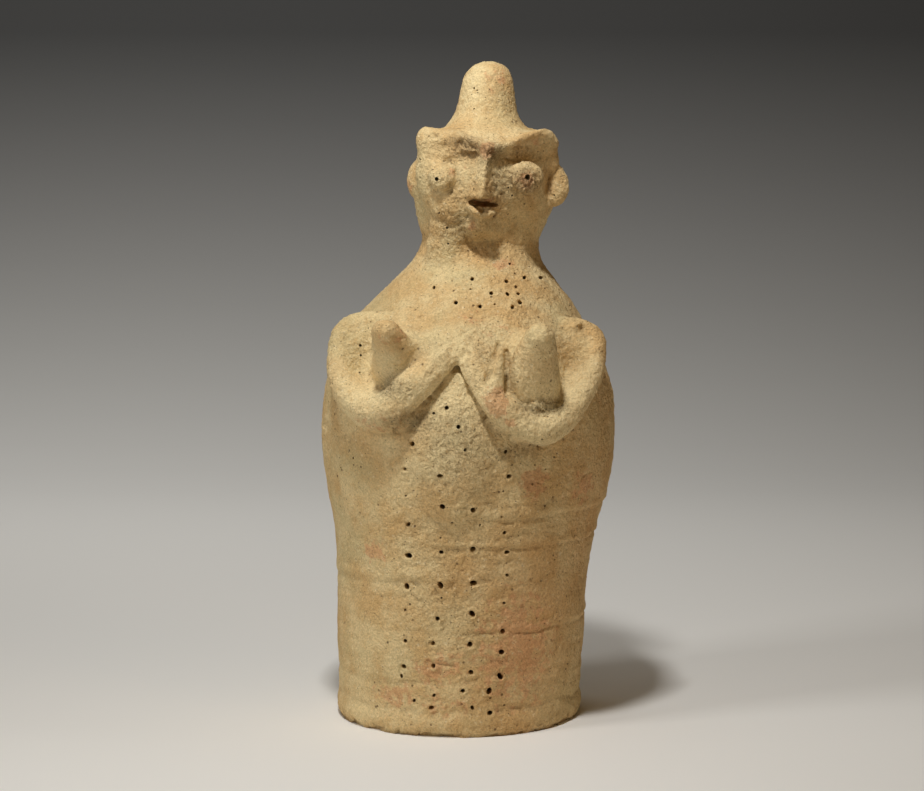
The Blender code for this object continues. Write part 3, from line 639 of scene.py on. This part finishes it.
def clay_lumps():
    """Every lump, coil and thrown form, overlapping where they are pressed together."""
    bm = bmesh.new()
    for form, count in ((BODY, BODY_ROWS), (HEAD, HEAD_ROWS), (TOPKNOT, TOPKNOT_ROWS)):
        loft(bm, form, form[-1][0], count, RING_SIDES)
    for points in (LEFT_ARM, RIGHT_ARM, BROW):
        coil(bm, points)
    nose(bm)
    for lump_sizes in LUMPS.values():
        lump(bm, *lump_sizes)
    for horn_sizes in HORNS.values():
        horn(bm, *horn_sizes)
    return keep("clay", bm)


def press(points, middle, reach, depth):
    """Pushes the clay in with a fingertip, from the front."""
    fade = np.clip(1.0 - (points[:, 1] - middle[1]) / PRESS_BACK, 0.0, 1.0)
    across = (points[:, 0] - middle[0]) / reach[0]
    upright = (points[:, 2] - middle[2]) / reach[1]
    points[:, 1] += depth * fade * np.exp(-PRESS_FALL * (across**2 + upright**2))


def neighbours(mesh):
    """Every edge of a mesh from both of its ends: where it starts and where it leads."""
    ends = np.empty(len(mesh.edges) * 2, np.int32)
    mesh.edges.foreach_get("vertices", ends)
    a, b = ends.reshape(-1, 2).T
    return np.concatenate([a, b]), np.concatenate([b, a])


def even_out(points, links, place, strokes, share):
    """Draws the points of a place towards the middles of their neighbours, stroke by stroke."""
    start, other = (end[place[links[0]]] for end in links)
    count = np.bincount(start, minlength=len(points))[place]
    for _ in range(strokes):
        for k in range(3):
            middles = np.bincount(start, points[other, k], len(points))[place] / np.maximum(count, 1)
            points[place, k] += share * (middles - points[place, k])


def knead(points, links, middle, reach, strokes):
    """Works one place smooth with the fingers."""
    place = (((points - np.array(middle)) / np.array(reach)) ** 2).sum(1) < 1.0
    even_out(points, links, place, strokes, 0.5)


def groove(points, start, end):
    """How far each point lies from a line drawn on the front, seen from the front."""
    a, b = np.array(start), np.array(end)
    flat = points[:, [0, 2]] - a
    along = np.clip(flat @ (b - a) / ((b - a) @ (b - a)), 0.0, 1.0)
    return np.linalg.norm(flat - along[:, None] * (b - a), axis=1)


def wiped(points):
    """How smoothly the clay was wiped: most on the left of the thrown body, less on the topknot."""
    body = soft_step(-14.0, -34.0, points[:, 0]) * soft_step(112.0, 96.0, points[:, 2])
    return body + 0.8 * soft_step(222.0, 232.0, points[:, 2])


def on_rings(angle, radius, level):
    """Points on rings, so that a grain read off there closes round the body."""
    return np.stack([np.sin(angle) * radius, np.cos(angle) * radius, level], 1)


def throwing(points):
    """What the wheel and the potter's fingers left on the thrown body, as height above its skin."""
    angle = np.arctan2(points[:, 0], -points[:, 1])
    wander = 1.4 * grain(on_rings(angle, 2, points[:, 2] / 30), "wander of a ridge")
    rise = np.zeros(len(points))
    for height, tilt, proud, width, side in THROWING:
        middle = height + tilt * np.sin(angle) + wander
        along = on_rings(angle, 2.5, np.full(len(points), height))
        fresh = 0.6 + side * np.sin(angle) + 1.1 * grain(along, "fading of a ridge")
        rise += proud * np.clip(fresh, 0.0, 1.3) * np.exp(-((points[:, 2] - middle) / width) ** 2)
    rings = grain(on_rings(angle, 3, points[:, 2] / 3.2), "fine rings")
    rise = MARKS["ridges"] * rise + MARKS["fine rings"] * rings
    return rise * soft_step(150.0, 110.0, points[:, 2])


def weather(solid, sizes):
    """Moves the skin by what throwing, hand work, breakage and wear have left on it."""
    points, normals = points_of(solid.data)
    height = points[:, 2]
    calm = 1.0 - 0.5 * wiped(points)

    # The thrown and handled skin
    rise = MARKS["swell"] * grain(points, "swell") + MARKS["handling"] * calm * grain(points, "handling")
    rise += calm * throwing(points)
    patchy = soft_step(0.0, 0.2, grain(points, "patches"))
    rough = MARKS["tooth"] * (2 - patchy) * grain(points, "tooth")
    rise += calm * (MARKS["patches"] * patchy + rough)

    # The foot is worn round at its edge, and chipped
    rise -= (MARKS["foot's edge"] + MARKS["foot"] * grain(points, "foot")) * soft_step(2.6, 0.0, height)
    rise -= MARKS["chips"] * soft_step(0.1, 0.3, grain(points, "chips")) * soft_step(5.0, 0.5, height)

    # Torn clay has lost its skin, and keeps flakes and crumbs between cracks
    flaked = soft_step(-0.02, 0.10, grain(points, "flakes"))
    cracks = soft_step(0.07, 0.0, np.abs(grain(points * (1.0, 1.0, 1.5), "cracks")))
    torn = MARKS["flakes"] * flaked - MARKS["torn"] - MARKS["cracks"] * cracks
    rise += zones(points, CRUMBLY) * (torn + MARKS["crumbs"] * grain(points, "crumbs"))

    front = points[:, 1] < 0
    for start, end, depth, width in STROKES:
        away = groove(points, start, end)
        rise -= np.where(front, depth * np.exp(-((away / width) ** 2)), 0.0)

    # Each prick but the stray ones pushed up an uneven lip and rounded its mouth
    uneven = 1.0 + 1.6 * grain(points, "lips")
    for row in PRICKS[:-1]:
        for prick_height, x, share in row:
            middle = np.array((x, body_skin(x, prick_height), prick_height))
            radius = share * sizes.prick / unit_of(sizes) / 2
            away = np.linalg.norm(points - middle, axis=1)
            lip = np.exp(-((away - 1.8 * radius) / (0.6 * radius)) ** 2)
            rise += share * MARKS["lips"] * lip * uneven
            rise -= share * MARKS["mouths of the pricks"] * np.exp(-((away / radius) ** 2))
    points += normals * (rise * sizes.relief)[:, None]
    solid.data.vertices.foreach_set("co", points.astype(np.float32).ravel())
    solid.data.update()


def one_skin(solid, softening):
    """Joins everything that overlaps into one even skin and softens it."""
    remesh = solid.modifiers.new("one skin", "REMESH")
    remesh.mode = "VOXEL"
    remesh.voxel_size = VOXEL
    soften = solid.modifiers.new("soften", "SMOOTH")
    soften.factor = 0.5
    soften.iterations = softening
    settle(solid)


def fuse(solid, sizes):
    """Makes the overlapping lumps one skin, presses in the hollows and works the joins smooth."""
    one_skin(solid, SOFTENING[0])
    points, _ = points_of(solid.data)
    links = neighbours(solid.data)
    for middle, reach, depth in PRESSES.values():
        press(points, middle, reach, depth)
    for middle, reach, strokes in KNEADED.values():
        knead(points, links, middle, reach, strokes)
    solid.data.vertices.foreach_set("co", points.astype(np.float32).ravel())
    solid.data.update()
    one_skin(solid, SOFTENING[1])
    weather(solid, sizes)


def stand_flat(solid):
    """Cuts the foot off level."""
    bm = bmesh.new()
    bm.from_mesh(solid.data)
    everything = bm.verts[:] + bm.edges[:] + bm.faces[:]
    cut = bmesh.ops.bisect_plane(
        bm, geom=everything, plane_co=(0, 0, 0), plane_no=(0, 0, -1), clear_outer=True)
    rim = [edge for edge in cut["geom_cut"] if isinstance(edge, bmesh.types.BMEdge)]
    bmesh.ops.holes_fill(bm, edges=rim, sides=0)
    bmesh.ops.triangulate(bm, faces=bm.faces)
    bm.to_mesh(solid.data)
    bm.free()


def thin_out(solid, triangles):
    """Leaves out faces, most of them behind and then low in front, where the surface is plain."""
    points, _ = points_of(solid.data)
    behind = 0.15 + 0.2 * soft_step(100.0, 80.0, points[:, 2])
    behind += (1.0 - behind) * soft_step(-5.0, 15.0, points[:, 1])
    group = solid.vertex_groups.new(name="plain")
    for k in range(THINNING_STEPS + 1):
        share = k / THINNING_STEPS
        members = np.nonzero(np.abs(behind - share) <= 0.5 / THINNING_STEPS)[0]
        if len(members):
            group.add(members.tolist(), share, "REPLACE")
    fewer = solid.modifiers.new("fewer faces", "DECIMATE")
    fewer.ratio = triangles / len(solid.data.polygons)
    fewer.vertex_group = group.name
    fewer.vertex_group_factor = 0.6
    settle(solid)
    solid.vertex_groups.clear()


def hollow(sizes):
    """The space inside the thrown body, ringed by the potter's fingers and open at the foot."""
    unit = unit_of(sizes)
    bm = bmesh.new()
    loft(bm, BODY, sizes.hollow_top / unit, HOLLOW_ROWS, HOLLOW_SIDES, wall=sizes.wall / unit)
    for vert in bm.verts:
        outwards = Vector((vert.co.x, vert.co.y, 0)).normalized()
        vert.co += outwards * (0.35 * math.sin(vert.co.z / 1.9) + 0.2 * noise.noise(vert.co / 9))
    return keep("hollow", bm)


def pricked_places(solid):
    """Where each prick meets the skin, seen from the front, which way it points, and its share."""
    bm = bmesh.new()
    bm.from_mesh(solid.data)
    skin = BVHTree.FromBMesh(bm)
    bm.free()
    places = []
    for row in PRICKS:
        for height, x, share in row:
            place, facing, _, _ = skin.ray_cast(Vector((x, -100.0, height)), Vector((0, 1, 0)))
            places.append((place, (facing + Vector((0, -1, 0))).normalized(), share))
    return places


def pricks(places, sizes):
    """The pricked holes: short tapered pegs, each at its own slant and more or less oval."""
    bm = bmesh.new()
    for number, (place, outward, share) in enumerate(places):
        turn = outward.to_track_quat("Z", "Y").to_matrix().to_4x4()
        width = share * sizes.prick / unit_of(sizes)
        oval = Matrix.Diagonal((1.0 + 0.25 * math.sin(5.1 * number), 0.85, 1.0, 1.0))
        tilt = Matrix.Rotation(2.3 * number, 4, "Z")
        bmesh.ops.create_cone(
            bm, cap_ends=True, segments=HOLE_SIDES, radius1=PRICK_TAPER[0] * width,
            radius2=PRICK_TAPER[1] * width, depth=PRICK_REACH[share > LARGE_FROM],
            matrix=Matrix.Translation(place) @ turn @ tilt @ oval)
    return keep("pricks", bm)


def face_cuts():
    """The slit of the mouth, with wavy edges, and the pinholes in the eyes."""
    bm = bmesh.new()
    lump(bm, *MOUTH)
    for vert in bm.verts:
        vert.co.z += 0.9 * noise.noise(vert.co / 2.6)
    for x, y, height, width in PUPILS:
        place = Matrix.Translation((x, y, height)) @ Matrix.Rotation(math.pi / 2, 4, "X")
        bmesh.ops.create_cone(
            bm, cap_ends=True, segments=HOLE_SIDES, radius1=width / 2, radius2=width / 2, depth=9.0,
            matrix=place)
    return keep("face cuts", bm)


def cut_away(solid, cutter):
    """Cuts one closed shape out of another, and drops the cutter."""
    cut = solid.modifiers.new(cutter.name, "BOOLEAN")
    cut.operation = "DIFFERENCE"
    cut.solver = "EXACT"
    cut.object = cutter
    settle(solid)
    bpy.data.objects.remove(cutter)


def note_surface(solid, places, sizes):
    """Writes on the surface what the finish reads: painted shade in hollows and at the foot, and how worn,
    torn, soiled and so on each place is.
    """
    mesh = solid.data
    points, normals = points_of(mesh)
    # How deep each point lies in a hollow, for the shade painted into hollows and creases
    around = points.copy()
    even_out(around, neighbours(mesh), np.ones(len(points), bool), 3, 1.0)
    painted_hollow_shade = ((around - points) * normals).sum(1)
    torn = zones(points, CRUMBLY)
    # Soil in the pricked holes, painted darker the deeper it lies, so that it also paints their shade
    soil_and_painted_shade = np.zeros(len(points))
    for place, outward, share in places:
        away = np.array(place) - points
        depth = away @ np.array(outward)
        aside = np.linalg.norm(away - depth[:, None] * np.array(outward), axis=1)
        inside = aside < 0.8 * share * sizes.prick / unit_of(sizes)
        soil_and_painted_shade = np.maximum(soil_and_painted_shade, np.where(inside & (depth < 6.0), soft_step(0.2, 1.0, depth), 0.0))
    # Shade painted along the foot's lower edge, broken up by dust
    dusty_foot_shade = np.clip(0.6 + 0.8 * grain(points, "dust_and_foot_shade"), 0.45, 1.0)
    notes = {
        "painted_hollow_shade": np.clip(painted_hollow_shade * 2.5, -1, 1),
        "soil_and_painted_shade": np.maximum(soil_and_painted_shade, dusty_foot_shade * soft_step(1.8, 0.3, points[:, 2])),
        "torn": torn,
        "gritty": 0.95 + 0.4 * torn - 0.35 * wiped(points),
        "worn": zones(points, WORN),
        "tan_and_warm_shade": zones(points, TAN_AND_WARM_SHADE),
        "pale": zones(points, PALE_SLIP_AND_LIGHT),
    }
    for name, values in notes.items():
        layer = mesh.attributes.new(name, "FLOAT", "POINT")
        layer.data.foreach_set("value", values.astype(np.float32))


def node(tree, kind, inputs=None, links=None, **settings):
    """Adds a node with its settings, the values of its sockets and what feeds them."""
    new = tree.nodes.new(kind)
    for name, value in settings.items():
        setattr(new, name, value)
    for name, value in (inputs or {}).items():
        new.inputs[name].default_value = value
    for name, source in (links or {}).items():
        tree.links.new(source, new.inputs[name])
    return new


def feed(tree, socket, value):
    """Links a socket to what feeds it, or sets its value."""
    if isinstance(value, bpy.types.NodeSocket):
        tree.links.new(value, socket)
    else:
        socket.default_value = value


def fired_clay(colours, unit):
    """Low-fired earthenware, thrown and hand-worked, under a thin pale slip that has worn and flaked away.

    Its surface is matt and chalky, with fine grit, so it has almost no sheen. Sizes are in millimetres on a
    figure 250 mm tall.
    """
    clay = bpy.data.materials.new("fired_clay")
    clay.use_nodes = True
    tree = clay.node_tree
    tree.nodes.clear()
    place = node(tree, "ShaderNodeTexCoord").outputs["Object"]

    def noted(name):
        """What the modelling wrote on the surface."""
        return node(tree, "ShaderNodeAttribute", attribute_name=name).outputs["Fac"]

    def maths(operation, first, second, clamp=False):
        """A sum on two values."""
        total = node(tree, "ShaderNodeMath", operation=operation, use_clamp=clamp)
        feed(tree, total.inputs[0], first)
        feed(tree, total.inputs[1], second)
        return total.outputs[0]

    def step(value, low, high):
        """0 at low, 1 at high and a smooth step between."""
        return node(tree, "ShaderNodeMapRange", {"From Min": low, "From Max": high}, {"Value": value},
                    interpolation_type="SMOOTHSTEP").outputs["Result"]

    def grit(size, detail, rough=0.5):
        """Noise with grains of one size."""
        return node(tree, "ShaderNodeTexNoise",
                    {"Scale": 1.0 / (size * unit), "Detail": detail, "Roughness": rough},
                    {"Vector": place}).outputs["Fac"]

    def cloud(size, low=0.35, high=0.65, detail=3.0, rough=0.55):
        """A soft-edged cloudy mask with patches of one size."""
        return step(grit(size, detail, rough), low, high)

    def pins(apart, where):
        """Pinholes of burnt-out chaff about so far apart, each a small part of that across."""
        cells = node(tree, "ShaderNodeTexVoronoi", {"Scale": 1.0 / (apart * unit), "Randomness": 1.0},
                     {"Vector": place}, feature="F1")
        return maths("MULTIPLY", step(cells.outputs["Distance"], 0.17, 0.09), where)

    def mixed(share, under, over, blend="MIX"):
        """One colour over another by a share."""
        mix = node(tree, "ShaderNodeMix", data_type="RGBA", blend_type=blend)
        for number, value in ((0, share), (6, under), (7, over)):
            feed(tree, mix.inputs[number], value)
        return mix.outputs[2]

    def laid(over, under, mask, share):
        """A colour laid over another where a mask lets it, by a share at most."""
        return mixed(maths("MULTIPLY", mask, share, clamp=True), under, list(over))

    def bump(height, distance, under=None, strength=1.0):
        """Relief too fine for the mesh, over the relief under it."""
        links = {"Height": height} if under is None else {"Height": height, "Normal": under}
        return node(tree, "ShaderNodeBump", {"Strength": strength, "Distance": distance * unit},
                    links).outputs["Normal"]

    torn, soil_and_painted_shade = noted("torn"), noted("soil_and_painted_shade")

    # Slip thin and thick over the clay, the thick slip partly painted light, and tan clay, partly painted
    # warm shade
    colour = mixed(cloud(14.0), list(colours.slip), list(colours.clay))
    colour = laid(colours.grey_slip, colour, cloud(26.0, 0.48, 0.70), 0.55)
    # Thick slip, which also paints light onto the arms, hands, belly and head
    colour = laid(colours.pale_slip_and_light, colour, noted("pale"), 0.6)
    # Tan clay, which also paints warm shade on the shaded right side and under the brows
    colour = laid(colours.tan, colour, noted("tan_and_warm_shade"), 0.45)

    # Ragged blotches where it has worn through, with grains of bare clay and of lime
    ragged = maths("ADD", noted("worn"), maths("MULTIPLY", cloud(3.0, 0.2, 0.8, detail=5.0), 0.9))
    colour = laid(colours.worn, colour, step(ragged, 0.82, 1.22), 0.62)
    colour = laid(colours.clay, colour, cloud(2.2, 0.56, 0.70), 0.5)
    colour = laid(colours.lime, colour, cloud(1.3, 0.60, 0.72), 0.5)

    # Painted shade in hollows, soil with painted shade in the pricked holes and at the foot, painted shade in
    # cracks, then pinholes, specks and the shade of single grains
    colour = laid(colours.soil_and_painted_shade, colour, noted("painted_hollow_shade"), 0.3)
    colour = laid(colours.soil_and_painted_shade, colour, soil_and_painted_shade, 0.78)
    # Painted shade in the cracks between crumbs of torn clay
    cracks = maths("MULTIPLY", torn, cloud(1.4, 0.50, 0.40, detail=4.0, rough=0.7), clamp=True)
    colour = laid(colours.cracks, colour, cracks, 0.35)
    pinholes = maths("MAXIMUM", pins(3.4, cloud(7.0, 0.50, 0.62)), pins(1.7, cloud(5.0, 0.44, 0.60)))
    colour = laid(colours.soil_and_painted_shade, colour, pinholes, 0.7)
    shade = node(tree, "ShaderNodeMapRange",
                 {"From Min": 0.3, "From Max": 0.7, "To Min": 0.84, "To Max": 1.14},
                 {"Value": grit(0.7, 2.0)})
    colour = mixed(1.0, colour, shade.outputs["Result"], "MULTIPLY")
    colour = laid(colours.soil_and_painted_shade, colour, cloud(0.9, 0.70, 0.78, detail=1.0), 0.4)

    # Crumbs where it is torn, then coarse grit, pinholes and fine grit
    relief = bump(maths("MULTIPLY", grit(1.4, 5.0, 0.75), torn), 1.6)
    relief = bump(grit(2.8, 2.0, 0.6), 0.9, relief)
    relief = bump(maths("SUBTRACT", 1.0, pinholes), 0.5, relief, 0.8)
    relief = bump(maths("MULTIPLY", grit(1.2, 3.0, 0.6), noted("gritty")), 0.75, relief)
    shader = node(
        tree, "ShaderNodeBsdfPrincipled",
        {"Roughness": 0.95, "Metallic": 0.0, "IOR": 1.45, "Specular IOR Level": 0.25},
        {"Base Color": colour, "Normal": relief})
    node(tree, "ShaderNodeOutputMaterial", links={"Surface": shader.outputs["BSDF"]})
    return clay


def foot_axis(unit):
    """Where the solid's foot stands, so that the clay is put on the same axis."""
    foot = [v.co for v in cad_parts[CAD_NODE].data.vertices if v.co.z < 0.1 * unit]
    middle = [(min(co[k] for co in foot) + max(co[k] for co in foot)) / 2 for k in range(2)]
    return Vector((middle[0] - FOOT_MIDDLE[0] * unit, middle[1] - FOOT_MIDDLE[1] * unit, 0.0))


class FIGURINE_OT_clay(bpy.types.Operator):
    """Model the figurine in clay, cut its hollow and its holes, and give it its finish."""
    bl_idname = "figurine.clay"
    bl_label = "Figurine"

    def execute(self, context):
        sizes = context.scene.figurine_sizes
        unit = unit_of(sizes)
        figure = clay_lumps()
        fuse(figure, sizes)
        stand_flat(figure)
        thin_out(figure, sizes.triangles)
        places = pricked_places(figure)
        for cutter in (hollow(sizes), pricks(places, sizes), face_cuts()):
            cut_away(figure, cutter)
        note_surface(figure, places, sizes)
        figure.data.transform(Matrix.Translation(foot_axis(unit)) @ Matrix.Scale(unit, 4))
        figure.name = figure.data.name = "figurine_clay"
        figure.data.materials.clear()
        figure.data.materials.append(fired_clay(context.scene.figurine_colours, unit))
        figure.data.shade_smooth()
        figure.data.set_sharp_from_angle(angle=SHARP_FROM)
        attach(figure, "root")
        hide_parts(CAD_NODE)
        return {"FINISHED"}


class FIGURINE_OT_studio(bpy.types.Operator):
    """Set out the sweep that the figurine stands on, the lights and the camera."""
    bl_idname = "figurine.studio"
    bl_label = "Studio"

    def execute(self, context):
        scene = context.scene
        axis = foot_axis(unit_of(scene.figurine_sizes))
        self.sweep(scene)
        for name, (place, aim, size, power, colour) in LAMPS.items():
            self.lamp(scene, name, axis + Vector(place), axis + Vector(aim), size, power, colour)
        world = bpy.data.worlds.new("studio")
        world.use_nodes = True
        room = world.node_tree.nodes["Background"].inputs
        room["Color"].default_value = linear(ROOM_LIGHT[0])
        room["Strength"].default_value = ROOM_LIGHT[1]
        scene.world = world
        lens = bpy.data.cameras.new("camera")
        lens.lens = CAMERA_LENS
        lens.sensor_width = CAMERA_FILM
        camera = bpy.data.objects.new("camera", lens)
        camera.location = axis + Vector(CAMERA_PLACE)
        camera.rotation_euler = (math.radians(90 - CAMERA_TILT), 0.0, 0.0)
        scene.collection.objects.link(camera)
        scene.camera = camera
        scene.view_settings.view_transform = "Standard"
        return {"FINISHED"}

    def sweep(self, scene):
        """Pale paper that lies flat under the figure and rises behind it, painted darker towards the back as
        the light falls off.
        """
        bm = bmesh.new()
        front, back, side, bend, top = -2.0, 0.6, 3.0, 1.2, 3.0
        ring = bmesh.ops.create_grid(bm, x_segments=1, y_segments=1, size=1.0)
        for vert in ring["verts"]:
            vert.co = Vector((vert.co.x * side, front if vert.co.y < 0 else back, 0.0))
        edge = max(bm.edges, key=lambda e: sum(v.co.y for v in e.verts))
        bmesh.ops.spin(
            bm, geom=[edge, *edge.verts], cent=(0, back, bend), axis=(1, 0, 0), angle=math.pi / 2, steps=24)
        rim = [e for e in bm.edges if all(abs(v.co.z - bend) < 1e-5 and v.co.y > back for v in e.verts)]
        raised = bmesh.ops.extrude_edge_only(bm, edges=rim)
        for item in raised["geom"]:
            if isinstance(item, bmesh.types.BMVert):
                item.co.z = top
        sweep = keep("studio_sweep", bm)
        sweep.data.shade_smooth()
        paper = bpy.data.materials.new("sweep_paper_painted_falloff")
        paper.use_nodes = True
        tree = paper.node_tree
        tree.nodes.clear()
        colours = scene.figurine_colours
        place = node(tree, "ShaderNodeTexCoord").outputs["Object"]
        apart = node(tree, "ShaderNodeSeparateXYZ", links={"Vector": place})
        # The paper's colour darkens towards the back, a painted fall-off of the light
        far = node(tree, "ShaderNodeMapRange", {"From Min": PAINTED_FALLOFF[0], "From Max": PAINTED_FALLOFF[1]},
                   {"Value": apart.outputs["Y"]})
        ramp = node(tree, "ShaderNodeMix", {6: list(colours.floor), 7: list(colours.painted_far_shade)},
                    {0: far.outputs["Result"]}, data_type="RGBA")
        shader = node(tree, "ShaderNodeBsdfPrincipled", {"Roughness": 0.9, "Specular IOR Level": 0.1},
                      {"Base Color": ramp.outputs[2]})
        node(tree, "ShaderNodeOutputMaterial", links={"Surface": shader.outputs["BSDF"]})
        sweep.data.materials.append(paper)

    def lamp(self, scene, name, place, aim, size, power, colour):
        """A square soft light turned to what it lights."""
        data = bpy.data.lights.new(name, "AREA")
        data.size = size
        data.energy = power
        data.color = linear(colour)[:3]
        light = bpy.data.objects.new(name, data)
        light.location = place
        light.rotation_euler = (aim - place).to_track_quat("-Z", "Y").to_euler()
        scene.collection.objects.link(light)


class FIGURINE_PT_panel(bpy.types.Panel):
    """Sizes, colours and steps of the figurine."""
    bl_idname = "FIGURINE_PT_panel"
    bl_label = "Figurine"
    bl_space_type = "VIEW_3D"
    bl_region_type = "UI"
    bl_category = "Figurine"

    def draw(self, context):
        for group in (context.scene.figurine_sizes, context.scene.figurine_colours):
            for name in group.__annotations__:
                self.layout.prop(group, name)
        for step in (FIGURINE_OT_clay, FIGURINE_OT_studio):
            self.layout.operator(step.bl_idname)


CLASSES = (FigurineSizes, FigurineColours, FIGURINE_OT_clay, FIGURINE_OT_studio, FIGURINE_PT_panel)


def register():
    for cls in CLASSES:
        bpy.utils.register_class(cls)
    bpy.types.Scene.figurine_sizes = bpy.props.PointerProperty(type=FigurineSizes)
    bpy.types.Scene.figurine_colours = bpy.props.PointerProperty(type=FigurineColours)


def unregister():
    del bpy.types.Scene.figurine_colours
    del bpy.types.Scene.figurine_sizes
    for cls in reversed(CLASSES):
        bpy.utils.unregister_class(cls)


def main():
    register()
    bpy.ops.figurine.clay()
    bpy.ops.figurine.studio()


if __name__ == "__main__":
    main()
